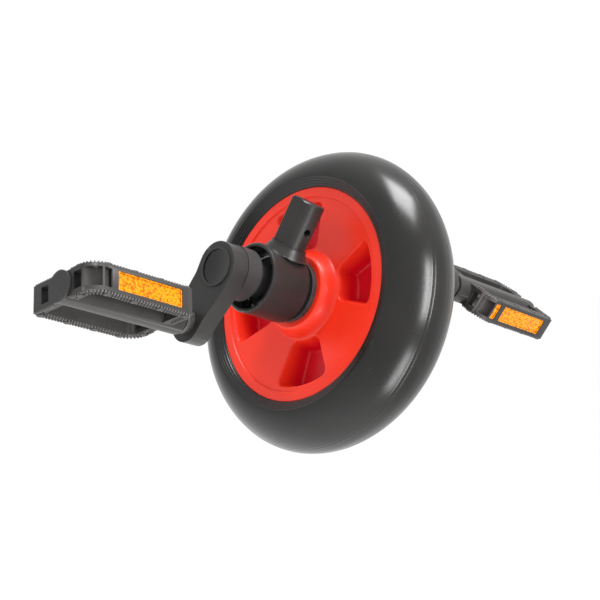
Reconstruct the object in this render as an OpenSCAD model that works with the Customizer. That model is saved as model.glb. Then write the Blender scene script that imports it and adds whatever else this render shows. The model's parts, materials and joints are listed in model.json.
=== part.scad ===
// Small solid-tyre unicycle wheel set: wheel, axle, bearing housings, cranks and platform pedals.
// X points forward, Y along the axle to the rider's left and Z up along the two fork stubs.
// The origin is the centre of the wheel, in millimetres. "Right" pieces lie on the -Y side.

/* [Tyre] */
// Outer diameter of the tyre
tyre_diameter = 200; // [180:1:240]
// Widest part of the tyre
tyre_width = 56; // [50:1:70]
// Radius at which the tyre is widest
tyre_bulge_r = 77; // [76:0.5:80]
// Roundness of the tread: 2 is an ellipse
tread_power = 1.8; // [1.5:0.1:3]
// Depth of the fine rings in the sidewall
sidewall_groove = 0.8; // [0.4:0.1:1.2]

/* [Wheel hub] */
// Radius of the hub where the tyre sits
rim_r = 70.5; // [66:0.5:71]
// Width of the hub over its rim
rim_width = 48; // [44:1:49]
// Height of the rib that holds the tyre on the rim
rim_rib = 3; // [2:0.5:4]
// Width of the flat band at the rim
rim_band = 6.5; // [5:0.5:8]
// Thickness of the middle web
web_thickness = 9; // [6:1:12]
// Number of fan-shaped pockets on each side
pocket_count = 4; // [3:1:6]
// Angle of the first pocket from the vertical
pocket_start = -36; // [-45:1:45]
// Outer radius of the pockets
pocket_outer_r = 61; // [54:1:62]
// Inner radius of the pockets
pocket_inner_r = 30; // [30:1:36]
// Half of the angle that one pocket spans
pocket_half_angle = 21; // [14:1:24]
// Radius of the raised centre boss
hub_boss_r = 26; // [24.5:0.5:27]
// Width of the hub over its centre bosses
hub_boss_width = 57; // [54:1:60]

/* [Hub sleeve] */
// Radius of the steel sleeve in the hub
sleeve_r = 20.5; // [19:0.5:21]
// Length of the sleeve over both ends
sleeve_length = 64; // [60:1:66]
// Number of splines that drive the hub
spline_count = 8; // [6:1:12]
// Radius of one spline
spline_r = 2; // [1.5:0.5:2.5]

/* [Axle] */
// Radius of the axle in the bearings
journal_r = 8.5; // [8:0.5:9]
// Radius of the axle inside the sleeve
axle_middle_r = 11; // [10:0.5:12]
// Side of the square that drives a crank
square_side = 12; // [11:0.5:12]
// Width and height of the drive key
key_size = 6; // [5:0.5:7]
// Length of the drive key
key_length = 36; // [28:1:44]

/* [Bearing housings] */
// Inboard end of a housing, from the wheel's middle
housing_start = 36; // [34:0.5:37]
// Length of a housing
housing_length = 31.5; // [30:0.5:34]
// Wall of a housing round its bearing
housing_wall = 2.4; // [2.2:0.1:4]
// Radius of the fork stub
stub_r = 10.75; // [9.5:0.25:11]
// Distance of the stub and bearing from the wheel's middle
stub_position = 48; // [48:0.5:50]
// Top of the fork stub above the axle
stub_top = 57; // [52:1:64]
// Height of the step at the stub's foot
stub_step_z = 27; // [26:0.5:29]
// Radius of the stub's foot
stub_foot_r = 11.75; // [11.25:0.25:13]
// Depth of the flat milled on the stub
stub_flat = 1.6; // [1:0.1:2]
// Radius of the cross hole in the stub
stub_hole_r = 2.5; // [2:0.25:3]
// Height of the cross hole above the axle
stub_hole_z = 39; // [36:0.5:44]

/* [Bearings] */
// Outer radius of a bearing
bearing_outer_r = 20; // [19.5:0.5:20.5]
// Width of a bearing
bearing_width = 12; // [11:0.5:13]
// Thickness of an inner or outer race at its lip
race_lip = 3.6; // [3.2:0.1:3.8]
// Radius of a ball
ball_r = 3.37; // [3:0.01:3.6]
// Number of balls in a bearing
ball_count = 8; // [6:1:8]
// Thickness of the ring that holds the balls
cage_thickness = 1.6; // [1.2:0.1:2]
// Thickness of a bearing seal
seal_thickness = 0.8; // [0.6:0.1:1]
// Thickness of the circlip that holds a bearing
circlip_thickness = 1.6; // [1.2:0.1:2]

/* [Cranks] */
// Distance from the axle to the pedal spindle
crank_length = 38; // [34:1:60]
// Angle of the right crank forward of straight down
crank_angle = 0; // [-30:1:30]
// Outer face of a crank at the axle, from the wheel's middle
crank_face = 95.5; // [94:0.5:98]
// Thickness of a crank arm
crank_thickness = 12.5; // [11:0.5:14]
// How far the pedal end stands outboard of the axle end
crank_splay = 4; // [2:0.5:10]
// Radius of the axle end of a crank arm
crank_big_r = 16; // [15.5:0.25:17]
// Radius of the pedal end of a crank arm
crank_small_r = 12.8; // [12:0.2:14]
// Radius of the boss behind a crank
crank_boss_r = 16.6; // [15.5:0.1:17]
// Inboard end of a crank's boss, from the wheel's middle
crank_boss_start = 72.5; // [70:0.5:74]
// Radius of the dust cap
dust_cap_r = 11; // [10:0.5:11.5]
// Depth of the crank's socket for the bolt head
socket_depth = 9; // [8:0.5:10]

/* [Pedals] */
// Length of a pedal along its spindle
pedal_length = 75; // [74:1:90]
// Front-to-back width of a pedal
pedal_width = 56; // [54:1:62]
// Height of a pedal's cage
pedal_height = 16; // [15.5:0.5:18]
// Gap between a crank and its pedal's barrel
pedal_gap = 7; // [5:0.5:14]
// How far the barrel stands out of the pedal's inboard end
barrel_reach = 11; // [4:0.5:12]
// Thickness of the front and back walls
pedal_wall = 6; // [5:0.5:7]
// Radius of the barrel round the spindle
barrel_r = 9.6; // [9.4:0.1:10.2]
// Rounding of the cage's corners beside the reflectors
cage_corner = 3; // [2:0.5:5]
// Rounding of the cage's other two corners
cage_shoulder = 11; // [8:0.5:13]
// Tilt of the right pedal, front up
right_pedal_tilt = 39; // [-45:1:45]
// Tilt of the left pedal, front up
left_pedal_tilt = -7; // [-45:1:45]
// Length of a reflector
reflector_length = 47; // [44:1:48]
// Height of a reflector
reflector_height = 11.5; // [10:0.5:12]
// Thickness of a reflector
reflector_thickness = 3; // [2.4:0.2:3.6]
// Radius of the pedal spindle in its bushes
spindle_r = 5; // [4.5:0.25:5.5]
// Radius of the spindle's thread
spindle_thread_r = 7.1; // [6.5:0.1:7.1]
// Radius of a grip stud
stud_r = 2.2; // [1.6:0.1:2.6]
// Height of a grip stud
stud_height = 1.4; // [1:0.1:2]

/* [Hidden] */
$fn = 96;

// Radial clearance of a turning fit, and of two pieces that only lie in one another
running_fit = 0.05;
loose_fit = 0.2;
// How far a cutter runs past the face it cuts
past = 1;

tyre_r = tyre_diameter / 2;
rim_half = rim_width / 2;
hub_boss_half = hub_boss_width / 2;
sleeve_half = sleeve_length / 2;
web_half = web_thickness / 2;
// Width of the tyre's locking rib, and how far the hub steps down inside its rim band
rib_width = 14;
band_step = 1.2;
dish_depth = 5.5;
// Rounding of the pockets' corners and of the hub's centre boss
pocket_corner = 5;
boss_round = 2;

housing_end = housing_start + housing_length;
housing_r = bearing_outer_r + housing_wall;
bearing_start = stub_position - bearing_width / 2;
bearing_end = bearing_start + bearing_width;
// Bore of the housing's lip behind the bearing, and outer radius of the spacers
lip_bore_r = bearing_outer_r - 2;
spacer_r = journal_r + race_lip;
housing_chamfer = 1;
circlip_depth = 0.9;

pitch_r = (journal_r + bearing_outer_r) / 2;
groove_r = ball_r + running_fit;
cage_half = ball_r + 0.9;

// The crank's planes, outboard from the wheel's middle
arm_start = crank_face - crank_thickness;
socket_floor = crank_face - socket_depth;
eye_face = crank_face + crank_splay;
eye_back = eye_face - crank_thickness;
arm_taper = (crank_big_r - crank_small_r) / crank_length;
cap_ring_width = 1.5;
cap_ring_height = 0.9;
washer_thickness = 1.6;
washer_r = dust_cap_r - 1.4;
bolt_thread_r = 4;
bolt_thread_length = 22;
bolt_head_height = 4.6;
bolt_head_across = 13;
cap_thickness = 1.6;
cap_dish = 0.9;

// The pedal's planes along its spindle, outboard from the pedal's middle
pedal_half = pedal_length / 2;
pedal_middle = eye_face + pedal_gap + barrel_reach + pedal_half;
pedal_front = pedal_width / 2;
bush_thickness = 1.6;
bush_length = 12;
bush_flange = 1.2;
bush_outer_r = spindle_r + running_fit + bush_thickness;
barrel_bore_r = spindle_r + running_fit + bush_thickness;
end_wall = 5;
// The pocket at the barrel's outer end that holds the nut
nut_pocket_r = barrel_r - 1.8;
bush_flange_r = nut_pocket_r - loose_fit;
nut_across = 10;
nut_height = 4;
spindle_stud_r = 3;
cap_disc_thickness = 1.6;
cap_plug_length = 2.4;
// Axial gap under the thin washer, and the spindle's tip beyond its nut
washer_gap = 0.3;
thin_washer = 1;
stud_tip = 0.6;
nut_pocket_depth = bush_flange + washer_gap + thin_washer + nut_height + stud_tip + 2 * washer_gap
    + cap_plug_length;
// The long wall in order: end post, reflector, post, slot, then a hollow shoulder
end_post = 9;
post_width = 4.5;
slot_width = 5;
reflector_from = pedal_half - end_post - reflector_length;
slot_from = reflector_from - post_width - slot_width;
hollow_r = 8;
// Front skin of the post, with the reflector's channel behind it
post_skin = 1.4;
end_window_width = 7;
end_window_height = 10.5;
// Axial play between the collar and the inner bush
side_play = 0.3;

// ---------- Placing ----------

// Turns a piece built along +Z onto the right side, where +Z becomes outboard and +Y up
module on_right() {
    rotate([90, 0, 0]) children();
}

// The mirror image of on_right
module on_left() {
    mirror([0, 1, 0]) on_right() children();
}

// The right crank's own line: its eye lies below the axle, swung forward by crank_angle
module on_right_crank() {
    on_right() rotate([0, 0, crank_angle]) children();
}

// The left crank stands opposite the right one
module on_left_crank() {
    rotate([0, 180, 0]) mirror([0, 1, 0]) on_right_crank() children();
}

// The crank's eye, where the pedal spindle screws in
module at_eye() {
    translate([0, -crank_length, 0]) children();
}

eye_x = crank_length * sin(crank_angle);
eye_z = crank_length * cos(crank_angle);

// A pedal is built round its own middle with its inboard end at +Y
module on_right_pedal() {
    translate([eye_x, -pedal_middle, -eye_z]) rotate([0, -right_pedal_tilt, 0]) children();
}

// The left pedal is the same moulding turned end for end
module on_left_pedal() {
    translate([-eye_x, pedal_middle, eye_z]) rotate([0, -left_pedal_tilt, 0])
        rotate([0, 0, 180]) children();
}

// ---------- Shared shapes ----------

module ring(outer_r, inner_r, from, to) {
    translate([0, 0, from]) difference() {
        cylinder(r = outer_r, h = to - from);
        translate([0, 0, -past]) cylinder(r = inner_r, h = to - from + 2 * past);
    }
}

module hexagon(across, height) {
    cylinder(r = across / sqrt(3), h = height, $fn = 6);
}

// Points of an arc in the plane, from angle a to angle b
function arc(centre, r, a, b, steps = 6) =
    [for (i = [0:steps]) let (t = a + (b - a) * i / steps)
        [centre[0] + r * cos(t), centre[1] + r * sin(t)]];

// ---------- Wheel ----------

// One half of the tread, from the widest point to the middle of the tyre
function tread_half(steps = 14) =
    [for (i = [0:steps]) let (t = 90 * i / steps)
        [tyre_bulge_r + (tyre_r - tyre_bulge_r) * pow(sin(t), 2 / tread_power),
         tyre_width / 2 * pow(cos(t), 2 / tread_power)]];

// The sidewall between the rim and the widest point, with its fine rings
function sidewall() =
    let (rings = 3,
         start = [rim_r, rim_half],
         reach = [tyre_bulge_r - rim_r, tyre_width / 2 - rim_half],
         pitch = 1 / (rings + 0.5))
    concat([start], [for (i = [0:rings - 1]) for (k = [0, 1])
        let (at = start + reach * pitch * (i + (k == 0 ? 0.7 : 1)))
        [at[0], at[1] - (k == 0 ? sidewall_groove : 0)]]);

function tyre_half() = concat([[rim_r + rim_rib, rib_width / 2], [rim_r, rib_width / 2]],
    sidewall(), tread_half());

function mirrored(points) =
    [for (i = [len(points) - 1:-1:0]) [points[i][0], -points[i][1]]];

module tyre() {
    half = tyre_half();
    color([0.09, 0.09, 0.09]) on_right() rotate_extrude()
        polygon(concat(half, mirrored(half)));
}

// One side of the hub from the rim to the sleeve, in radius and distance from the middle
function hub_half() = concat(
    [[rim_r + rim_rib, 0], [rim_r + rim_rib, rib_width / 2], [rim_r, rib_width / 2],
     [rim_r, rim_half], [rim_r - rim_band, rim_half], [rim_r - rim_band, rim_half - band_step],
     [pocket_outer_r, rim_half - dish_depth / 2], [pocket_inner_r, rim_half - dish_depth],
     [hub_boss_r + boss_round, rim_half - dish_depth + 1.5]],
    arc([hub_boss_r - boss_round, hub_boss_half - boss_round], boss_round, 0, 90),
    [[sleeve_r, hub_boss_half], [sleeve_r, 0]]);

// A fan between two radii with rounded corners, its middle on the +Y line
function fan(r_in, r_out, half_angle, corner) =
    let (out_turn = half_angle - asin(corner / (r_out - corner)),
         in_turn = half_angle - asin(corner / (r_in + corner)),
         out_c = (r_out - corner) * [sin(out_turn), cos(out_turn)],
         in_c = (r_in + corner) * [sin(in_turn), cos(in_turn)],
         right_side = concat(
            arc([0, 0], r_in, 90, 90 - in_turn, 4),
            arc(in_c, corner, 270 - in_turn, 360 - half_angle),
            arc(out_c, corner, -half_angle, 90 - out_turn),
            arc([0, 0], r_out, 90 - out_turn, 90, 6)))
    concat(right_side, [for (i = [len(right_side) - 2:-1:1]) [-right_side[i][0], right_side[i][1]]]);

module pockets() {
    for (i = [0:pocket_count - 1])
        rotate([0, 0, -pocket_start - 360 / pocket_count * i])
            for (side = [0, 1]) mirror([0, 0, side]) translate([0, 0, web_half])
                linear_extrude(rim_half) polygon(fan(pocket_inner_r, pocket_outer_r,
                    pocket_half_angle, pocket_corner));
}

module splines(length) {
    for (i = [0:spline_count - 1]) rotate([0, 0, 360 / spline_count * (i + 0.5)])
        translate([sleeve_r, 0, -length / 2]) cylinder(r = spline_r, h = length, $fn = 32);
}

spline_length = hub_boss_width - 12;

module wheel_hub() {
    half = hub_half();
    color([0.93, 0.16, 0.07]) on_right() difference() {
        rotate_extrude() polygon(concat(half, mirrored(half)));
        pockets();
        splines(spline_length);
    }
}

module key_shape(length) {
    translate([-key_size / 2, axle_middle_r - key_size / 2, -length / 2])
        cube([key_size, key_size, length]);
}

module hub_sleeve() {
    color([0.13, 0.13, 0.13]) on_right() difference() {
        union() {
            cylinder(r = sleeve_r, h = sleeve_length, center = true);
            splines(spline_length);
        }
        cylinder(r = axle_middle_r, h = sleeve_length + 2 * past, center = true);
        translate([-key_size / 2, 0, -sleeve_half - past])
            cube([key_size, axle_middle_r + key_size / 2, sleeve_length + 2 * past]);
    }
}

module axle_side() {
    translate([0, 0, sleeve_half - 1]) cylinder(r = journal_r, h = crank_boss_start - sleeve_half + 1);
    translate([-square_side / 2, -square_side / 2, crank_boss_start - 1])
        cube([square_side, square_side, socket_floor - crank_boss_start + 0.5]);
}

module axle() {
    color([0.55, 0.56, 0.58]) on_right() difference() {
        union() {
            cylinder(r = axle_middle_r, h = sleeve_length - 2, center = true);
            for (side = [0, 1]) mirror([0, 0, side]) axle_side();
        }
        key_shape(key_length);
        for (side = [0, 1]) mirror([0, 0, side])
            translate([0, 0, socket_floor + washer_thickness - bolt_thread_length - 2])
                cylinder(r = bolt_thread_r, h = bolt_thread_length + 4);
    }
}

module axle_key() {
    color([0.6, 0.6, 0.62]) on_right() key_shape(key_length);
}

// ---------- Bearing housing ----------

module stub_shape() {
    rotate([-90, 0, 0]) {
        cylinder(r = stub_foot_r, h = stub_step_z);
        cylinder(r = stub_r, h = stub_top - 0.8);
        translate([0, 0, stub_top - 0.8]) cylinder(r1 = stub_r, r2 = stub_r - 0.8, h = 0.8);
    }
}

// The saddle that spreads the stub's foot onto the tube, within the tube's length
module stub_saddle() {
    spread = 3;
    foot = housing_r - 2;
    inset = housing_chamfer / 2;
    intersection() {
        translate([0, foot, stub_position]) rotate([-90, 0, 0])
            cylinder(r1 = stub_foot_r + spread, r2 = stub_foot_r, h = stub_step_z - foot - 1);
        translate([-housing_r, 0, housing_start + inset])
            cube([2 * housing_r, stub_step_z + past, housing_length - 2 * inset]);
    }
}

module housing() {
    difference() {
        union() {
            translate([0, 0, housing_start + housing_chamfer])
                cylinder(r = housing_r, h = housing_length - 2 * housing_chamfer);
            translate([0, 0, housing_start])
                cylinder(r1 = housing_r - housing_chamfer, r2 = housing_r, h = housing_chamfer);
            translate([0, 0, housing_end - housing_chamfer])
                cylinder(r1 = housing_r, r2 = housing_r - housing_chamfer, h = housing_chamfer);
            translate([0, 0, stub_position]) stub_shape();
            stub_saddle();
        }
        translate([0, 0, housing_start - past]) cylinder(r = lip_bore_r, h = housing_length + 2 * past);
        translate([0, 0, bearing_start])
            cylinder(r = bearing_outer_r, h = housing_end - bearing_start + past);
        translate([0, 0, bearing_end]) cylinder(r = bearing_outer_r + circlip_depth, h = circlip_thickness);
        // Flat on the stub's outboard side
        translate([-stub_r - past, stub_step_z, stub_position + stub_r - stub_flat])
            cube([2 * stub_r + 2 * past, stub_top - stub_step_z + past, stub_flat + past]);
        translate([0, stub_hole_z, stub_position]) rotate([0, 90, 0])
            cylinder(r = stub_hole_r, h = 2 * stub_r + 10, center = true);
    }
}

module right_bearing_housing() {
    color([0.12, 0.12, 0.12]) on_right() housing();
}

module left_bearing_housing() {
    color([0.12, 0.12, 0.12]) on_left() housing();
}

// ---------- Bearing ----------

// The round groove that the balls run in
module ball_groove() {
    translate([0, 0, stub_position]) rotate_extrude() translate([pitch_r, 0]) circle(r = groove_r, $fn = 48);
}

module outer_race() {
    difference() {
        ring(bearing_outer_r, bearing_outer_r - race_lip, bearing_start, bearing_end);
        ball_groove();
    }
}

module inner_race() {
    difference() {
        ring(spacer_r, journal_r, bearing_start, bearing_end);
        ball_groove();
    }
}

module each_ball() {
    for (i = [0:ball_count - 1]) rotate([0, 0, 360 / ball_count * i])
        translate([pitch_r, 0, stub_position]) children();
}

module cage() {
    difference() {
        ring(pitch_r + cage_thickness / 2, pitch_r - cage_thickness / 2,
            stub_position - cage_half, stub_position + cage_half);
        each_ball() rotate([0, 90, 0])
            cylinder(r = ball_r + loose_fit, h = 4 * cage_thickness, center = true, $fn = 48);
    }
}

module seals() {
    seal_inset = 0.2;
    for (side = [0, 1])
        translate([0, 0, stub_position]) mirror([0, 0, side]) translate([0, 0, -stub_position])
            ring(bearing_outer_r - race_lip, spacer_r + loose_fit,
                bearing_end - seal_inset - seal_thickness, bearing_end - seal_inset);
}

module circlip() {
    outer_r = bearing_outer_r + circlip_depth;
    inner_r = bearing_outer_r - 1.8;
    ear_turn = 12;
    gap_half = 4;
    translate([0, 0, bearing_end]) difference() {
        cylinder(r = outer_r, h = circlip_thickness);
        translate([0, 0, -past]) cylinder(r = inner_r, h = circlip_thickness + 2 * past);
        translate([-gap_half, -outer_r - past, -past])
            cube([2 * gap_half, outer_r / 2, circlip_thickness + 2 * past]);
    }
    for (side = [-1, 1]) translate([0, 0, bearing_end]) rotate([0, 0, side * (ear_turn + 6)])
        translate([0, -inner_r + 0.4, 0]) difference() {
            cylinder(r = 2.2, h = circlip_thickness, $fn = 32);
            translate([0, 0, -past]) cylinder(r = 0.8, h = circlip_thickness + 2 * past, $fn = 24);
        }
}

module right_bearing_outer_race() { color([0.6, 0.6, 0.62]) on_right() outer_race(); }
module left_bearing_outer_race() { color([0.6, 0.6, 0.62]) on_left() outer_race(); }
module right_bearing_inner_race() { color([0.6, 0.6, 0.62]) on_right() inner_race(); }
module left_bearing_inner_race() { color([0.6, 0.6, 0.62]) on_left() inner_race(); }
module balls() { each_ball() sphere(r = ball_r); }
module right_bearing_balls() { color([0.75, 0.75, 0.78]) on_right() balls(); }
module left_bearing_balls() { color([0.75, 0.75, 0.78]) on_left() balls(); }
module right_bearing_cage() { color([0.7, 0.6, 0.35]) on_right() cage(); }
module left_bearing_cage() { color([0.7, 0.6, 0.35]) on_left() cage(); }
module right_bearing_seals() { color([0.07, 0.07, 0.08]) on_right() seals(); }
module left_bearing_seals() { color([0.07, 0.07, 0.08]) on_left() seals(); }
module right_circlip() { color([0.3, 0.3, 0.31]) on_right() circlip(); }
module left_circlip() { color([0.3, 0.3, 0.31]) on_left() circlip(); }

module inner_spacer() { ring(spacer_r, journal_r, sleeve_half, bearing_start); }
module outer_spacer() { ring(spacer_r, journal_r, bearing_end, crank_boss_start); }
module right_inner_spacer() { color([0.2, 0.2, 0.2]) on_right() inner_spacer(); }
module left_inner_spacer() { color([0.2, 0.2, 0.2]) on_left() inner_spacer(); }
module right_outer_spacer() { color([0.2, 0.2, 0.2]) on_right() outer_spacer(); }
module left_outer_spacer() { color([0.2, 0.2, 0.2]) on_left() outer_spacer(); }

// ---------- Cranks ----------

// The arm's outline: two circles and the straight sides that touch both
module arm_outline() {
    side = sqrt(1 - arm_taper * arm_taper);
    circle(r = crank_big_r);
    at_eye() circle(r = crank_small_r);
    polygon([[-crank_big_r * side, -crank_big_r * arm_taper],
        [crank_big_r * side, -crank_big_r * arm_taper],
        [crank_small_r * side, -crank_length - crank_small_r * arm_taper],
        [-crank_small_r * side, -crank_length - crank_small_r * arm_taper]]);
}

// The arm seen from its edge: level at both ends and swept outboard between them
module arm_sweep() {
    bend_from = -crank_big_r * 0.6;
    bend_to = -crank_length + crank_small_r * 0.4;
    foot = -crank_length - crank_small_r - past;
    translate([-crank_big_r - past, 0, 0]) rotate([90, 0, 90])
        linear_extrude(2 * crank_big_r + 2 * past)
            polygon([[crank_big_r + past, arm_start], [crank_big_r + past, crank_face],
                [bend_from, crank_face], [bend_to, eye_face], [foot, eye_face],
                [foot, eye_back], [bend_to, eye_back], [bend_from, arm_start]]);
}

module crank() {
    difference() {
        union() {
            intersection() {
                translate([0, 0, arm_start - past])
                    linear_extrude(eye_face - arm_start + 2 * past) arm_outline();
                arm_sweep();
            }
            translate([0, 0, crank_boss_start])
                cylinder(r = crank_boss_r, h = arm_start - crank_boss_start + past / 2);
            ring(dust_cap_r + cap_ring_width, dust_cap_r, crank_face - past, crank_face + cap_ring_height);
        }
        translate([-square_side / 2, -square_side / 2, crank_boss_start - past])
            cube([square_side, square_side, crank_face - crank_boss_start]);
        translate([0, 0, socket_floor]) cylinder(r = dust_cap_r, h = socket_depth + past);
        at_eye() translate([0, 0, eye_back - past])
            cylinder(r = spindle_thread_r, h = crank_thickness + 2 * past);
    }
}

module crank_washer() {
    ring(washer_r, bolt_thread_r, socket_floor, socket_floor + washer_thickness);
}

module crank_bolt() {
    head_start = socket_floor + washer_thickness;
    translate([0, 0, head_start]) hexagon(bolt_head_across, bolt_head_height);
    translate([0, 0, head_start - bolt_thread_length])
        cylinder(r = bolt_thread_r, h = bolt_thread_length + 0.5);
}

// A round cap with a dished face
module dust_cap() {
    dish_r = (dust_cap_r * dust_cap_r + cap_dish * cap_dish) / (2 * cap_dish);
    dish_turn = asin(dust_cap_r / dish_r);
    cap_back = crank_face - cap_thickness;
    rotate_extrude() polygon(concat([[0, cap_back], [dust_cap_r, cap_back]],
        arc([0, crank_face - cap_dish + dish_r], dish_r, 270 + dish_turn, 270, 8)));
}

module right_crank() { color([0.11, 0.11, 0.11]) on_right_crank() crank(); }
module left_crank() { color([0.11, 0.11, 0.11]) on_left_crank() crank(); }
module right_crank_washer() { color([0.6, 0.6, 0.6]) on_right_crank() crank_washer(); }
module left_crank_washer() { color([0.6, 0.6, 0.6]) on_left_crank() crank_washer(); }
module right_crank_bolt() { color([0.5, 0.5, 0.5]) on_right_crank() crank_bolt(); }
module left_crank_bolt() { color([0.5, 0.5, 0.5]) on_left_crank() crank_bolt(); }
module right_dust_cap() { color([0.1, 0.1, 0.1]) on_right_crank() dust_cap(); }
module left_dust_cap() { color([0.1, 0.1, 0.1]) on_left_crank() dust_cap(); }

// ---------- Pedals ----------

// Planes along the spindle, outboard from the wheel's middle
barrel_start = pedal_middle - pedal_half - barrel_reach;
barrel_end = pedal_middle + pedal_half;
nut_pocket_floor = barrel_end - nut_pocket_depth;
outer_bush_end = nut_pocket_floor;
spindle_shoulder = nut_pocket_floor + bush_flange;
nut_start = spindle_shoulder + washer_gap + thin_washer;

module pedal_spindle() {
    at_eye() {
        translate([0, 0, eye_back]) cylinder(r = spindle_thread_r, h = crank_thickness + 0.5);
        collar();
        translate([0, 0, eye_face + 1])
            cylinder(r = spindle_r, h = spindle_shoulder + washer_gap - eye_face - 1);
        translate([0, 0, spindle_shoulder])
            cylinder(r = spindle_stud_r, h = nut_start + nut_height + stud_tip - spindle_shoulder);
    }
}

// The collar against the crank, with two flats for a spanner
module collar() {
    collar_r = 8.6;
    flats = 15;
    length = pedal_gap - bush_flange - side_play;
    translate([0, 0, eye_face]) intersection() {
        cylinder(r = collar_r, h = length);
        translate([-collar_r, -flats / 2, -past]) cube([2 * collar_r, flats, length + 2 * past]);
    }
}

module spindle_washer() {
    at_eye() ring(nut_pocket_r - 1.2, spindle_stud_r, spindle_shoulder + washer_gap, nut_start);
}

module spindle_nut() {
    at_eye() translate([0, 0, nut_start]) difference() {
        hexagon(nut_across, nut_height);
        translate([0, 0, -past]) cylinder(r = spindle_stud_r, h = nut_height + 2 * past);
    }
}

module right_pedal_spindle() { color([0.7, 0.7, 0.72]) on_right_crank() pedal_spindle(); }
module left_pedal_spindle() { color([0.7, 0.7, 0.72]) on_left_crank() pedal_spindle(); }
module right_spindle_washer() { color([0.7, 0.7, 0.72]) on_right_crank() spindle_washer(); }
module left_spindle_washer() { color([0.7, 0.7, 0.72]) on_left_crank() spindle_washer(); }
module right_spindle_nut() { color([0.7, 0.7, 0.72]) on_right_crank() spindle_nut(); }
module left_spindle_nut() { color([0.7, 0.7, 0.72]) on_left_crank() spindle_nut(); }

// Everything below is built round the pedal's middle: -Y is outboard, +X the front, +Z the top.

// Turns a piece built along +Z, measured outboard from the wheel's middle, onto the pedal
module along_spindle() {
    rotate([90, 0, 0]) translate([0, 0, -pedal_middle]) children();
}

// A rectangle with round corners: one radius at two opposite corners, another at the other two
module rounded_plan(half_x, half_y, corner, shoulder) {
    difference() {
        square([2 * half_x, 2 * half_y], center = true);
        for (turn = [0, 180]) rotate(turn) {
            corner_cut(half_x, half_y, corner);
            mirror([0, 1]) corner_cut(half_x, half_y, shoulder);
        }
    }
}

// What rounding takes off one corner
module corner_cut(half_x, half_y, corner) {
    translate([half_x - corner, half_y - corner]) difference() {
        square([corner + past, corner + past]);
        circle(r = corner);
    }
}

// The two lengthwise openings, one each side of the barrel
module openings() {
    rib_half = barrel_r / 2;
    difference() {
        rounded_plan(pedal_front - pedal_wall, pedal_half - pedal_wall, cage_corner,
            cage_shoulder - pedal_wall);
        square([2 * rib_half, pedal_length], center = true);
    }
}

// A box cut into the front wall's face, from one place along it and to a depth
module wall_pocket(from, length, depth) {
    translate([pedal_front - depth, from, -reflector_height / 2])
        cube([depth + past, length, reflector_height]);
}

module windows() {
    wall_pocket(reflector_from, reflector_length, reflector_thickness);
    wall_pocket(slot_from, slot_width, reflector_thickness);
    translate([pedal_front, -pedal_half, -reflector_height / 2])
        cylinder(r = hollow_r, h = reflector_height);
    translate([pedal_front - reflector_thickness, slot_from + past, -reflector_height / 2])
        cube([reflector_thickness - post_skin, slot_width + post_width, reflector_height]);
}

// Windows through both ends, one each side of the barrel
module end_windows() {
    from_barrel = 2;
    for (end = [-1, 1]) for (side = [-1, 1])
        translate([side * (barrel_r + from_barrel + end_window_width / 2),
            end * (pedal_half - pedal_wall / 2), 0])
            cube([end_window_width, pedal_wall + 2 * past, end_window_height], center = true);
}

module pedal_cage() {
    difference() {
        linear_extrude(pedal_height, center = true)
            rounded_plan(pedal_front, pedal_half, cage_corner, cage_shoulder);
        linear_extrude(pedal_height + 2 * past, center = true) openings();
        for (turn = [0, 180]) rotate([0, 0, turn]) windows();
        end_windows();
    }
}

// Grip studs above and below: four along each long wall and one beside the barrel
module studs() {
    sink = 0.4;
    inset = 4.5;
    pitch = (pedal_length - inset - cage_shoulder - stud_r) / 3;
    spots = concat([for (i = [0:3]) [pedal_front - pedal_wall / 2, pedal_half - inset - pitch * i]],
        [[barrel_r + inset, pedal_wall / 2 - pedal_half]]);
    for (turn = [0, 180]) rotate(turn) for (flip = [0, 1]) mirror([0, 0, flip]) for (spot = spots)
        translate([spot[0], spot[1], pedal_height / 2 - sink])
            cylinder(r = stud_r, h = stud_height + sink, $fn = 32);
}

module pedal_body() {
    difference() {
        union() {
            pedal_cage();
            along_spindle() translate([0, 0, barrel_start])
                cylinder(r = barrel_r, h = barrel_end - barrel_start);
            studs();
        }
        along_spindle() {
            translate([0, 0, barrel_start - past])
                cylinder(r = barrel_bore_r, h = barrel_end - barrel_start + 2 * past);
            translate([0, 0, nut_pocket_floor]) cylinder(r = nut_pocket_r, h = nut_pocket_depth + past);
        }
    }
}

// A flanged bush: its flange lies outside the barrel's bore
module bush(from, to, flange_from, flange_to) {
    ring(bush_outer_r, spindle_r + running_fit, from, to);
    ring(bush_flange_r, spindle_r + running_fit, flange_from, flange_to);
}

module inner_bush() {
    along_spindle() bush(barrel_start - 0.1, barrel_start + bush_length,
        barrel_start - bush_flange, barrel_start);
}

module outer_bush() {
    along_spindle() bush(nut_pocket_floor - bush_length, nut_pocket_floor + 0.1,
        nut_pocket_floor, nut_pocket_floor + bush_flange);
}

// The reflector fills its window; a long one runs on behind the post and fills the slot too
module reflector(long) {
    face = 0.6;
    depth = reflector_thickness - face;
    base = pedal_front - reflector_thickness;
    translate([base, reflector_from, -reflector_height / 2])
        cube([depth, reflector_length, reflector_height]);
    if (long) {
        translate([base, slot_from + past, -reflector_height / 2])
            cube([reflector_thickness - post_skin, reflector_from - slot_from, reflector_height]);
        translate([base, slot_from, -reflector_height / 2])
            cube([depth, slot_width, reflector_height]);
    }
}

module end_cap() {
    along_spindle() {
        translate([0, 0, barrel_end]) cylinder(r = barrel_r, h = cap_disc_thickness);
        translate([0, 0, barrel_end - cap_plug_length])
            cylinder(r = nut_pocket_r, h = cap_plug_length + 0.2);
    }
}

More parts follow.
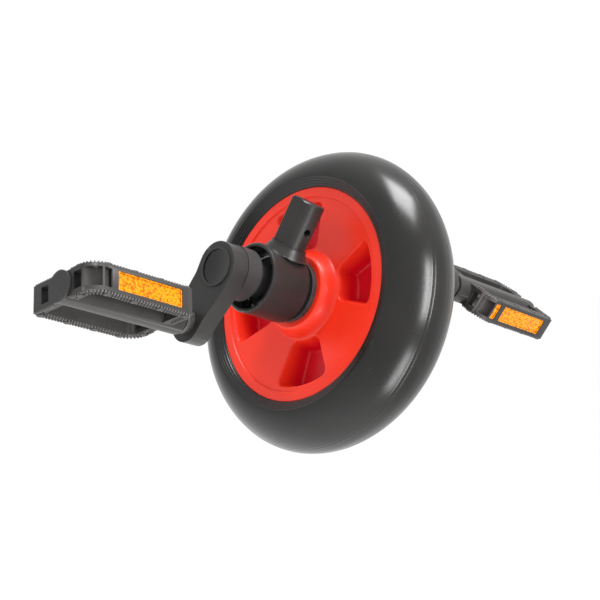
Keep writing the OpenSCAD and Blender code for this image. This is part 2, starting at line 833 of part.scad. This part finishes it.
module right_pedal_body() { color([0.1, 0.1, 0.1]) on_right_pedal() pedal_body(); }
module left_pedal_body() { color([0.1, 0.1, 0.1]) on_left_pedal() pedal_body(); }
module right_inner_bush() { color([0.8, 0.8, 0.75]) on_right_pedal() inner_bush(); }
module left_inner_bush() { color([0.8, 0.8, 0.75]) on_left_pedal() inner_bush(); }
module right_outer_bush() { color([0.8, 0.8, 0.75]) on_right_pedal() outer_bush(); }
module left_outer_bush() { color([0.8, 0.8, 0.75]) on_left_pedal() outer_bush(); }
module right_front_reflector() { color([1, 0.62, 0.05]) on_right_pedal() reflector(false); }
module right_rear_reflector() {
    color([1, 0.62, 0.05]) on_right_pedal() rotate([0, 0, 180]) reflector(false);
}
module left_front_reflector() {
    color([1, 0.62, 0.05]) on_left_pedal() rotate([0, 0, 180]) reflector(true);
}
module left_rear_reflector() { color([1, 0.62, 0.05]) on_left_pedal() reflector(true); }
module right_pedal_end_cap() { color([0.1, 0.1, 0.1]) on_right_pedal() end_cap(); }
module left_pedal_end_cap() { color([0.1, 0.1, 0.1]) on_left_pedal() end_cap(); }

tyre();
wheel_hub();
hub_sleeve();
axle();
axle_key();
right_bearing_housing();
left_bearing_housing();
right_bearing_outer_race();
left_bearing_outer_race();
right_bearing_inner_race();
left_bearing_inner_race();
right_bearing_balls();
left_bearing_balls();
right_bearing_cage();
left_bearing_cage();
right_bearing_seals();
left_bearing_seals();
right_circlip();
left_circlip();
right_inner_spacer();
left_inner_spacer();
right_outer_spacer();
left_outer_spacer();
right_crank();
left_crank();
right_crank_washer();
left_crank_washer();
right_crank_bolt();
left_crank_bolt();
right_dust_cap();
left_dust_cap();
right_pedal_spindle();
left_pedal_spindle();
right_spindle_washer();
left_spindle_washer();
right_spindle_nut();
left_spindle_nut();
right_pedal_body();
left_pedal_body();
right_inner_bush();
left_inner_bush();
right_outer_bush();
left_outer_bush();
right_front_reflector();
left_front_reflector();
right_rear_reflector();
left_rear_reflector();
right_pedal_end_cap();
left_pedal_end_cap();
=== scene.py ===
"""Looks of the solid-tyre wheel set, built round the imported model.

The frame is in metres: X forward, Y to the rider's left, Z up. Sizes below are in millimetres.
"""

import json
import math

import bpy
import numpy as np
from mathutils import Matrix, Vector


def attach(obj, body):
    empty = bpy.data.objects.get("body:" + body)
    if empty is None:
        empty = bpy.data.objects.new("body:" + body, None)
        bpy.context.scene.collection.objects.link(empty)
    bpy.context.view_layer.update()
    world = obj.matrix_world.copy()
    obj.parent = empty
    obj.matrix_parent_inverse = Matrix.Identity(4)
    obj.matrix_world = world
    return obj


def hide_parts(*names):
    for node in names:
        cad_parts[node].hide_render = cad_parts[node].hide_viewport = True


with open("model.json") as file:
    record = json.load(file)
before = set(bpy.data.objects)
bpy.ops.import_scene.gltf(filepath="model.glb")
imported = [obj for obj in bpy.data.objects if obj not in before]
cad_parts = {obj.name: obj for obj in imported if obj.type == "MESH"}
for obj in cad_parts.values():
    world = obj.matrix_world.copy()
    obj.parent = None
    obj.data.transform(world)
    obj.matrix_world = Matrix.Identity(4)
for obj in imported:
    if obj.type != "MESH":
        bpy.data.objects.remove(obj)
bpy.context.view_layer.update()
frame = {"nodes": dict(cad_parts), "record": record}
nodes = frame["nodes"]
MM = 0.001


# ---------- Materials ----------

def mapped(tree, source, low, high, to_low, to_high):
    """A value node's output, mapped from one range to another."""
    node = tree.nodes.new("ShaderNodeMapRange")
    node.clamp = True
    for key, value in zip(("From Min", "From Max", "To Min", "To Max"), (low, high, to_low, to_high)):
        node.inputs[key].default_value = value
    tree.links.new(source, node.inputs["Value"])
    return node.outputs["Result"]


def noise(tree, vector, scale, detail=3.0, rough=0.5):
    node = tree.nodes.new("ShaderNodeTexNoise")
    node.inputs["Scale"].default_value = scale
    node.inputs["Detail"].default_value = detail
    node.inputs["Roughness"].default_value = rough
    tree.links.new(vector, node.inputs["Vector"])
    return node.outputs["Fac"]


def mixed(tree, factor, a, b):
    """Mixes two colours, each a tuple or an output."""
    node = tree.nodes.new("ShaderNodeMix")
    node.data_type = "RGBA"
    tree.links.new(factor, node.inputs[0])
    for socket, value in ((node.inputs[6], a), (node.inputs[7], b)):
        if isinstance(value, tuple):
            socket.default_value = (*value, 1.0)
        else:
            tree.links.new(value, socket)
    return node.outputs[2]


def material(name, color, rough, metal=0.0, coat=0.0, grain=900.0, bump=0.15, vary=0.25,
             rough_vary=0.08, edge_tone=None, edge_amount=0.0, specular=0.26):
    """A surface with fine grain, broad colour variation, uneven gloss and a lighter colour along its sharp
    edges.
    """
    made = bpy.data.materials.new(name)
    made.use_nodes = True
    tree = made.node_tree
    shader = tree.nodes["Principled BSDF"]
    place = tree.nodes.new("ShaderNodeTexCoord").outputs["Object"]
    broad = noise(tree, place, 38.0, 4.0)
    fine = noise(tree, place, grain, 4.0, 0.6)
    darker = tuple(c * (1 - vary) for c in color)
    lighter = tuple(min(1.0, c * (1 + vary)) for c in color)
    tint = mixed(tree, mapped(tree, broad, 0.3, 0.7, 0, 1), darker, lighter)
    if edge_tone:
        # lighter along sharp convex edges, by how pointed the mesh is there
        edge = tree.nodes.new("ShaderNodeNewGeometry").outputs["Pointiness"]
        tint = mixed(tree, mapped(tree, edge, 0.52, 0.6, 0, edge_amount), tint, edge_tone)
    tree.links.new(tint, shader.inputs["Base Color"])
    tree.links.new(mapped(tree, fine, 0.3, 0.7, max(0.02, rough - rough_vary), rough + rough_vary),
                   shader.inputs["Roughness"])
    shader.inputs["Metallic"].default_value = metal
    shader.inputs["Coat Weight"].default_value = coat
    shader.inputs["Coat Roughness"].default_value = 0.12
    shader.inputs["Specular IOR Level"].default_value = specular
    relief = tree.nodes.new("ShaderNodeBump")
    relief.inputs["Strength"].default_value = bump
    relief.inputs["Distance"].default_value = 0.00012
    tree.links.new(fine, relief.inputs["Height"])
    tree.links.new(relief.outputs["Normal"], shader.inputs["Normal"])
    return made


def tyre_material():
    """Smooth polyurethane-like rubber, with faint scuffs on the tread."""
    made = material("tyre_rubber", (0.009, 0.0085, 0.008), 0.24, grain=650.0, bump=0.03, vary=0.2,
                    rough_vary=0.03, specular=0.3)
    tree = made.node_tree
    shader = tree.nodes["Principled BSDF"]
    place = tree.nodes.new("ShaderNodeTexCoord").outputs["Object"]
    stretch = tree.nodes.new("ShaderNodeMapping")
    stretch.inputs["Scale"].default_value = (1.0, 7.0, 1.0)
    tree.links.new(place, stretch.inputs["Vector"])
    scuff = mapped(tree, noise(tree, stretch.outputs["Vector"], 55.0, 6.0, 0.7), 0.66, 0.74, 0, 0.35)
    base = shader.inputs["Base Color"].links[0].from_socket
    tree.links.new(mixed(tree, scuff, base, (0.075, 0.073, 0.07)), shader.inputs["Base Color"])
    return made


def hub_material():
    """Glossy orange-red moulding, with painted shade: a darker crimson painted into the pockets, deeper in
    towards the middle.
    """
    made = material("hub_moulding", (0.8, 0.027, 0.008), 0.38, coat=0.05, grain=500.0, bump=0.05, vary=0.04,
                    rough_vary=0.04, specular=0.3)
    tree = made.node_tree
    shader = tree.nodes["Principled BSDF"]
    place = tree.nodes.new("ShaderNodeTexCoord").outputs["Object"]
    split = tree.nodes.new("ShaderNodeSeparateXYZ")
    tree.links.new(place, split.inputs["Vector"])
    away = tree.nodes.new("ShaderNodeMath")
    away.operation = "ABSOLUTE"
    tree.links.new(split.outputs["Y"], away.inputs[0])
    # painted shade: deeper in the pockets, towards the middle, the colour turns to a darker crimson where shade
    # falls
    depth = mapped(tree, away.outputs[0], 9 * MM, 17.5 * MM, 1, 0)
    base = shader.inputs["Base Color"].links[0].from_socket
    tree.links.new(mixed(tree, depth, base, (0.62, 0.0005, 0.011)), shader.inputs["Base Color"])
    shader.inputs["Subsurface Weight"].default_value = 0.12
    shader.inputs["Subsurface Radius"].default_value = (0.004, 0.001, 0.0006)
    shader.inputs["Subsurface Scale"].default_value = 1.0
    return made


def reflector_material():
    """Clear amber over small prisms, with painted shade in cells that change from one prism to the next, and a
    faint painted glow.
    """
    made = material("amber_prisms", (0.66, 0.23, 0.001), 0.2, coat=0.05, grain=1500.0, bump=0.06, vary=0.08,
                    rough_vary=0.04)
    tree = made.node_tree
    shader = tree.nodes["Principled BSDF"]
    place = tree.nodes.new("ShaderNodeTexCoord").outputs["Object"]
    cells = tree.nodes.new("ShaderNodeTexVoronoi")
    cells.inputs["Scale"].default_value = 620.0
    tree.links.new(place, cells.inputs["Vector"])
    # painted shade: prism cells mixed one by one towards a dark amber, standing for the prisms' uneven
    # reflection
    painted_prism_shade = mapped(tree, cells.outputs["Distance"], 0.35, 0.75, 0, 0.8)
    base = shader.inputs["Base Color"].links[0].from_socket
    tint = mixed(tree, painted_prism_shade, base, (0.2, 0.045, 0.001))
    tree.links.new(tint, shader.inputs["Base Color"])
    # painted glow: the amber colour is also given off as faint light, though the reflector is no lamp
    tree.links.new(tint, shader.inputs["Emission Color"])
    shader.inputs["Emission Strength"].default_value = 0.22
    return made


LOOKS = {
    "tyre": tyre_material(),
    "hub": hub_material(),
    "housing": material("housing_paint", (0.015, 0.0135, 0.013), 0.34, grain=1400.0, bump=0.25,
                        edge_tone=(0.09, 0.088, 0.086), edge_amount=0.5),
    "crank": material("crank_paint", (0.019, 0.018, 0.0175), 0.34, grain=1300.0, bump=0.2,
                      edge_tone=(0.1, 0.1, 0.1), edge_amount=0.5),
    "pedal": material("pedal_resin", (0.024, 0.0225, 0.022), 0.46, grain=1700.0, bump=0.5,
                      rough_vary=0.12, edge_tone=(0.14, 0.135, 0.13), edge_amount=0.6),
    "pedal_cap": material("cap_resin", (0.02, 0.019, 0.0185), 0.4, grain=1500.0, bump=0.3,
                          edge_tone=(0.12, 0.12, 0.12), edge_amount=0.5),
    "dust_cap": material("dust_cap_gloss", (0.007, 0.0068, 0.0065), 0.2, coat=0.1, grain=800.0, bump=0.1,
                         edge_tone=(0.12, 0.12, 0.12), edge_amount=0.4),
    "reflector": reflector_material(),
    "bush": material("bush_nylon", (0.03, 0.029, 0.028), 0.45, grain=1500.0, bump=0.2, vary=0.1),
    "seal": material("seal_rubber", (0.016, 0.016, 0.018), 0.6, grain=1800.0, bump=0.4),
    "cage": material("cage_steel", (0.5, 0.46, 0.36), 0.35, metal=1.0, grain=1600.0),
    "axle": material("axle_steel", (0.5, 0.5, 0.51), 0.3, metal=1.0, grain=1400.0),
    "spindle": material("zinc_plate", (0.16, 0.155, 0.15), 0.34, metal=1.0, grain=1500.0, bump=0.2,
                        vary=0.1),
    "black_steel": material("blackened_steel", (0.035, 0.034, 0.035), 0.33, metal=0.3, grain=1400.0,
                            edge_tone=(0.2, 0.2, 0.2), edge_amount=0.4),
    "spring_steel": material("phosphated_steel", (0.03, 0.03, 0.032), 0.5, metal=0.5, grain=1500.0),
    "bright_steel": material("ground_steel", (0.62, 0.62, 0.63), 0.26, metal=1.0, grain=1600.0),
}
SLOT_OF = {part["node"]: part["material_slot"] for part in frame["record"]["subparts"]}


def dress(obj, slot):
    obj.data.materials.clear()
    obj.data.materials.append(LOOKS[slot])


def soften(obj, width, angle=30.0):
    """Rounds a node's sharp edges without changing its mesh."""
    weld = obj.modifiers.new("weld", "WELD")
    weld.merge_threshold = 1e-6
    bevel = obj.modifiers.new("edges", "BEVEL")
    bevel.width = width * MM
    bevel.segments = 2
    bevel.limit_method = "ANGLE"
    bevel.angle_limit = math.radians(angle)
    bevel.use_clamp_overlap = True
    obj.modifiers.new("normals", "WEIGHTED_NORMAL")


EDGE = {"crank": 1.3, "housing": 0.5, "pedal": 0.5, "pedal_cap": 0.5, "spindle": 0.4, "dust_cap": 0.2,
        "black_steel": 0.4, "bright_steel": 0.3}
for name, obj in nodes.items():
    dress(obj, SLOT_OF[name])
    if SLOT_OF[name] in EDGE:
        soften(obj, EDGE[SLOT_OF[name]])


# ---------- Mesh helpers ----------

def piece(name, points, faces, body, slot, stands_for=(), sharp=35.0):
    mesh = bpy.data.meshes.new(name)
    mesh.from_pydata([tuple(p) for p in points], [], faces)
    mesh.validate()
    mesh.update()
    mesh.shade_smooth()
    mesh.set_sharp_from_angle(angle=math.radians(sharp))
    obj = bpy.data.objects.new(name, mesh)
    bpy.context.scene.collection.objects.link(obj)
    dress(obj, slot)
    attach(obj, body)
    if stands_for:
        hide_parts(*stands_for)


def ring(turn, r, y):
    """Points round the axle at radius r; y is one distance from the middle, or one for each point."""
    across = np.broadcast_to(y, len(turn))
    return [(r * math.cos(a) * MM, d * MM, r * math.sin(a) * MM) for a, d in zip(turn, across)]


def lathe_faces(rings, steps):
    """Quads of a grid of rings that closes round the axle, and from the last ring back to the first."""
    faces = []
    for i in range(rings):
        j = (i + 1) % rings
        for k in range(steps):
            m = (k + 1) % steps
            faces.append((i * steps + k, i * steps + m, j * steps + m, j * steps + k))
    return faces


def spaced(*stretches):
    """Points along stretches, each (first, last, how many), without each stretch's own end."""
    return np.concatenate([np.linspace(first, last, count, endpoint=False) for first, last, count in stretches])


def smooth_step(low, high, value):
    t = np.clip((value - low) / (high - low), 0, 1)
    return t * t * (3 - 2 * t)


# ---------- Tyre ----------

TYRE_R, TYRE_HALF, BULGE_R, POWER = 100.0, 28.0, 77.0, 1.8
RIM_R, RIM_HALF, RIB, RIB_HALF = 70.5, 24.0, 3.0, 7.0
GROOVES, GROOVE_DEPTH, GROOVES_END = 4, 0.32, 0.92


def tyre_profile():
    """One side of the tyre, from its locking rib to the tread's middle: (radius, distance from the middle)."""
    points = [(RIM_R + RIB, RIB_HALF), (RIM_R, RIB_HALF), (RIM_R, RIM_HALF - 0.3)]
    wall_start = RIM_R + 0.1
    for t in np.linspace(0, 1, 61)[1:]:
        groove = GROOVE_DEPTH * (0.5 - 0.5 * math.cos(2 * math.pi * GROOVES * min(t / GROOVES_END, 1.0)))
        points.append((wall_start + (BULGE_R - wall_start) * t,
                       RIM_HALF + (TYRE_HALF - RIM_HALF) * t ** 0.75 - groove))
    for t in np.linspace(0, math.pi / 2, 91)[1:]:
        y = TYRE_HALF * math.cos(t) ** (2 / POWER)
        r = BULGE_R + (TYRE_R - BULGE_R) * math.sin(t) ** (2 / POWER)
        seam = 0.14 * math.exp(-((y - 6.5) / 0.35) ** 2) + 0.1 * math.exp(-((y - 9.0) / 0.3) ** 2)
        points.append((r + seam, y))
    return points


def make_tyre():
    half = tyre_profile()
    profile = half + [(r, -y) for r, y in reversed(half[:-1])]
    turn = np.linspace(0, 2 * math.pi, 256, endpoint=False)
    points = [point for r, y in profile for point in ring(turn, r, y)]
    piece("tyre_detailed", points, lathe_faces(len(profile), len(turn)), "wheel", "tyre", ("tyre",), 40)


make_tyre()


# ---------- Hub ----------

SLEEVE_R, BOSS_R, BOSS_HALF, WEB_HALF = 20.5, 26.0, 28.5, 4.5
POCKETS, POCKET_START, POCKET_IN, POCKET_OUT, POCKET_TURN, POCKET_CORNER = 4, -36.0, 30.0, 61.0, 21.0, 5.0
BAND_R, BAND_STEP, DISH = 64.0, 1.2, 5.5
RIM_EDGE = 0.4


def hub_face(r):
    """Distance of the hub's face from its middle at each radius, before the pockets."""
    dish = (RIM_HALF - DISH) + (DISH - BAND_STEP) * smooth_step(POCKET_IN - 4, BAND_R, r)
    face = dish + (BOSS_HALF - dish) * (1 - smooth_step(BOSS_R - 2.6, BOSS_R + 4.0, r))
    return face + (RIM_HALF - face) * smooth_step(BAND_R - 0.1, BAND_R + 0.5, r)


def pocket_distance(r, turn):
    """Distance inside (negative) or outside a rounded fan pocket."""
    pitch = 2 * math.pi / POCKETS
    first = math.radians(90 - POCKET_START)
    off = (turn - first + pitch / 2) % pitch - pitch / 2
    half_r = (POCKET_OUT - POCKET_IN) / 2
    u = np.abs(r - (POCKET_IN + POCKET_OUT) / 2) - half_r + POCKET_CORNER
    v = (np.abs(off) - math.radians(POCKET_TURN)) * r + POCKET_CORNER
    outside = np.hypot(np.maximum(u, 0), np.maximum(v, 0))
    return outside + np.minimum(np.maximum(u, v), 0) - POCKET_CORNER


def make_hub():
    """The whole hub as rings from the sleeve out over the right face, across the rim, and back on the left."""
    spread = spaced((-45, -24, 12), (-24, -11, 32), (-11, 11, 12), (11, 24, 32), (24, 45, 12))
    turn = np.radians(np.concatenate([90 - POCKET_START + 360 / POCKETS * i + spread for i in range(POCKETS)]))
    radii = np.concatenate([[SLEEVE_R, 21.0],
                            spaced((22, 29, 15), (29, 36, 22), (36, 55, 13), (55, 62.5, 22), (62.5, 65, 12)),
                            [65.5, 67.5, 69.6, RIM_R - RIM_EDGE]])
    grid_r, grid_t = np.meshgrid(radii, turn, indexing="ij")
    face = hub_face(grid_r)
    depth = smooth_step(0.4, -6.0, pocket_distance(grid_r, grid_t))
    deep = 1 - (1 - depth) ** 1.6
    height = face - (face - WEB_HALF - 0.6) * deep
    edge = RIM_HALF - RIM_EDGE
    rings = [(r, -y) for r, y in zip(radii, height)]
    rings += [(RIM_R, -edge), (RIM_R, -RIB_HALF), (RIM_R + RIB, -RIB_HALF), (RIM_R + RIB, RIB_HALF),
              (RIM_R, RIB_HALF), (RIM_R, edge)]
    rings += list(zip(radii[::-1], height[::-1]))
    points = [point for r, y in rings for point in ring(turn, r, y)]
    piece("wheel_hub_detailed", points, lathe_faces(len(rings), len(turn)), "wheel", "hub", ("wheel_hub",), 50)


make_hub()


# ---------- Pedals ----------

CRANK, EYE_FACE, PEDAL_GAP, BARREL_REACH = 38.0, 99.5, 7.0, 11.0
PEDAL_HALF, PEDAL_FRONT, PEDAL_TOP, WALL = 37.5, 28.0, 8.0, 6.0
SHOULDER, BARREL_R = 11.0, 9.6
END_POST, POST, SLOT = 9.0, 4.5, 5.0
REFLECTOR_LENGTH, REFLECTOR_HEIGHT, REFLECTOR_THICK, REFLECTOR_SUNK = 47.0, 11.5, 3.0, 0.6
REFLECTOR_RIM, PRISM_PITCH, PRISM_ROWS = 0.8, 1.65, 6
TOOTH_PITCH = 2.1
TOOTH = ((-0.3, 0.72, 1.05), (1.15, 0.32, 0.65))  # at its foot and its top: height, half width, half length
PEDAL_MIDDLE = EYE_FACE + PEDAL_GAP + BARREL_REACH + PEDAL_HALF
RIGHT_TILT, LEFT_TILT = 39.0, -7.0
PLACES = {
    "right": Matrix.Translation((0, -PEDAL_MIDDLE, -CRANK))
    @ Matrix.Rotation(math.radians(-RIGHT_TILT), 4, "Y"),
    "left": Matrix.Translation((0, PEDAL_MIDDLE, CRANK)) @ Matrix.Rotation(math.radians(-LEFT_TILT), 4, "Y")
    @ Matrix.Rotation(math.pi, 4, "Z"),
}


def placed(side, points):
    return [PLACES[side] @ Vector(p) * MM for p in points]


def along(path, step):
    """Even points along a polyline, each with its direction."""
    found, carry = [], step / 2
    for a, b in zip(path, path[1:]):
        a, b = Vector(a), Vector(b)
        length = (b - a).length
        if length < 1e-9:
            continue
        way = (b - a) / length
        while carry < length:
            found.append((a + way * carry, way))
            carry += step
        carry -= length
    return found


def shoulder_bend(r, count):
    """Points round the cage's shoulder at radius r, from its long wall to its end."""
    x, y = PEDAL_FRONT - SHOULDER, SHOULDER - PEDAL_HALF
    return [(x + r * math.cos(a), y + r * math.sin(a)) for a in np.linspace(0, -math.pi / 2, count)]


def grip_paths():
    """Lines of teeth on a cage's top: round its outer edge and along its openings. (x, y) in its own plane."""
    inset, inner_inset = 1.3, WALL - 1.2
    outer = ([(PEDAL_FRONT - inset, PEDAL_HALF - 2.5)] + shoulder_bend(SHOULDER - inset, 9)
             + [(BARREL_R - 1, inset - PEDAL_HALF)])
    far = [(1 - BARREL_R, inset - PEDAL_HALF), (inset - PEDAL_FRONT + 1, inset - PEDAL_HALF)]
    inner_x = PEDAL_FRONT - inner_inset
    inner = ([(inner_x, PEDAL_HALF - WALL - 1), (inner_x, SHOULDER - PEDAL_HALF)]
             + shoulder_bend(SHOULDER - inner_inset, 6) + [(BARREL_R - 1, inner_inset - PEDAL_HALF)])
    return [outer, far, inner]


def tooth(at, way, turned, flip):
    """A tooth's eight points; turned is -1 for the cage's other half, flip -1 for its underside."""
    across = Vector((-way.y, way.x))
    points = []
    for z, half_w, half_l in TOOTH:
        for s, t in ((-1, -1), (1, -1), (1, 1), (-1, 1)):
            spot = (at + way * (half_w * s) + across * (half_l * t)) * turned
            points.append((spot.x, spot.y, flip * (PEDAL_TOP + z)))
    return points


def make_grip(side):
    """The small teeth moulded along a cage's edges, above and below."""
    quads = [(0, 1, 5, 4), (1, 2, 6, 5), (2, 3, 7, 6), (3, 0, 4, 7), (4, 5, 6, 7), (3, 2, 1, 0)]
    points, faces = [], []
    for path in grip_paths():
        for turned in (1, -1):
            for flip in (1, -1):
                for at, way in along(path, TOOTH_PITCH):
                    base = len(points)
                    points += tooth(at, way, turned, flip)
                    faces += [tuple(base + i for i in (q if flip > 0 else q[::-1])) for q in quads]
    piece(side + "_pedal_grip_teeth", placed(side, points), faces, side + "_pedal", "pedal", (), 30)


def add_block(points, faces, x_span, y_span, z_span):
    base = len(points)
    points.extend((x, y, z) for x in x_span for y in y_span for z in z_span)
    quads = [(0, 1, 3, 2), (0, 4, 5, 1), (2, 3, 7, 6), (0, 2, 6, 4), (1, 5, 7, 3), (4, 6, 7, 5)]
    faces.extend(tuple(base + i for i in q) for q in quads)


def add_prisms(points, faces, x, y0, span):
    """Rows of low pyramids inside a reflector's rim, every other row shifted by half a prism."""
    columns = max(2, round((span - 2 * REFLECTOR_RIM) / PRISM_PITCH))
    cell_y = (span - 2 * REFLECTOR_RIM) / columns
    cell_z = (REFLECTOR_HEIGHT - 2 * REFLECTOR_RIM) / PRISM_ROWS
    for i in range(columns):
        for j in range(PRISM_ROWS):
            shift = cell_y / 2 if j % 2 and i < columns - 1 else 0
            y = y0 + REFLECTOR_RIM + cell_y * i + shift
            z = REFLECTOR_RIM - REFLECTOR_HEIGHT / 2 + cell_z * j
            base = len(points)
            points.extend([(x, y, z), (x, y + cell_y, z), (x, y + cell_y, z + cell_z), (x, y, z + cell_z),
                           (x + 0.6, y + cell_y / 2, z + cell_z / 2)])
            faces.extend([(base + k, base + (k + 1) % 4, base + 4) for k in range(4)])
            faces.append((base + 3, base + 2, base + 1, base))


def make_reflector(side, end, turned):
    """A reflector with a plain rim and rows of small prisms; the left pedal's also fills the slot beside it."""
    start, low = PEDAL_HALF - END_POST - REFLECTOR_LENGTH, 0.7
    top = REFLECTOR_HEIGHT / 2
    back, front = PEDAL_FRONT - REFLECTOR_THICK, PEDAL_FRONT - REFLECTOR_SUNK
    spans = [(start, REFLECTOR_LENGTH)]
    if side == "left":
        spans.append((start - POST - SLOT, SLOT))
    points, faces = [], []
    for y0, span in spans:
        y1, rim = y0 + span, REFLECTOR_RIM
        add_block(points, faces, (back, front - low), (y0, y1), (-top, top))
        between = (y0 + rim, y1 - rim)
        for y_span, z_span in (((y0, y0 + rim), (-top, top)), ((y1 - rim, y1), (-top, top)),
                               (between, (top - rim, top)), (between, (-top, rim - top))):
            add_block(points, faces, (front - low - 0.1, front), y_span, z_span)
        add_prisms(points, faces, front - low + 0.02, y0, span)
    if side == "left":
        add_block(points, faces, (back, back + 1.6), (spans[1][0] + 1, start + 1), (-top, top))
    if turned:
        points = [(-x, -y, z) for x, y, z in points]
    node = f"{side}_{end}_reflector"
    piece(node + "_prisms", placed(side, points), faces, side + "_pedal", "reflector", (node,), 10)


for side in ("right", "left"):
    make_grip(side)
    make_reflector(side, "front", side == "left")
    make_reflector(side, "rear", side == "right")


# ---------- Stage, camera and light ----------

def camera_axes():
    """The photograph's direction: the wheel's axle, the stubs and X, as the camera sees them."""
    yaw, roll, tip = math.radians(47.07), math.radians(17.53), math.radians(10.1)
    out = Vector((-math.sin(yaw) * math.cos(roll), -math.sin(yaw) * math.sin(roll), -math.cos(yaw)))
    first = Vector((math.sin(roll), -math.cos(roll), 0))
    second = Vector((math.cos(yaw) * math.cos(roll), math.cos(yaw) * math.sin(roll), -math.sin(yaw)))
    up = first * math.cos(tip) + second * math.sin(tip)
    ahead = second * math.cos(tip) - first * math.sin(tip)
    return Matrix((ahead, -out, up))


AXES = camera_axes()
OFFSET = Vector((0.0158, 0.0007, 0.9))  # the wheel's centre: right of the view's middle, below it, ahead
RIGHT, DOWN, AHEAD = (AXES @ Vector(v) for v in ((1, 0, 0), (0, 1, 0), (0, 0, 1)))
EYE = -(AXES @ OFFSET)

lens = bpy.data.cameras.new("camera")
lens.lens, lens.sensor_width = 82.74, 36.0
lens.clip_start, lens.clip_end = 0.01, 100.0
camera = bpy.data.objects.new("camera", lens)
bpy.context.scene.collection.objects.link(camera)
camera.matrix_world = Matrix.Translation(EYE) @ Matrix((RIGHT, -DOWN, -AHEAD)).transposed().to_4x4()
bpy.context.scene.camera = camera


def softbox(name, right, up, toward, size, power, shape=1.0):
    """A large soft light facing the wheel, so many metres right, up and toward the photograph's viewpoint."""
    spot = RIGHT * right - DOWN * up - AHEAD * toward
    data = bpy.data.lights.new(name, "AREA")
    data.shape = "RECTANGLE"
    data.size, data.size_y = size, size * shape
    data.energy = power
    light = bpy.data.objects.new(name, data)
    bpy.context.scene.collection.objects.link(light)
    light.location = spot
    light.rotation_mode = "QUATERNION"
    light.rotation_quaternion = (-spot).to_track_quat("-Z", "Y")


softbox("key", 0.35, 1.5, 0.15, 0.7, 34.0)
softbox("side", 1.1, 0.35, 1.0, 0.3, 26.0, 3.2)
softbox("front", 0.6, -0.9, 1.0, 0.35, 12.0, 2.0)

world = bpy.data.worlds.new("studio")
world.use_nodes = True
sky = world.node_tree.nodes["Background"]
sky.inputs["Color"].default_value = (1.0, 1.0, 1.0, 1.0)
sky.inputs["Strength"].default_value = 1.05
bpy.context.scene.world = world
bpy.context.scene.view_settings.view_transform = "Standard"

floor_mesh = bpy.data.meshes.new("floor")
reach, level = 30.0, -1.2
corners = [(x * reach, y * reach, level) for x, y in ((-1, -1), (1, -1), (1, 1), (-1, 1))]
floor_mesh.from_pydata(corners, [], [(0, 1, 2, 3)])
floor = bpy.data.objects.new("floor", floor_mesh)
bpy.context.scene.collection.objects.link(floor)
floor_mesh.materials.append(material("pale_floor", (0.95, 0.95, 0.95), 0.8, grain=60.0, bump=0.02, vary=0.01))
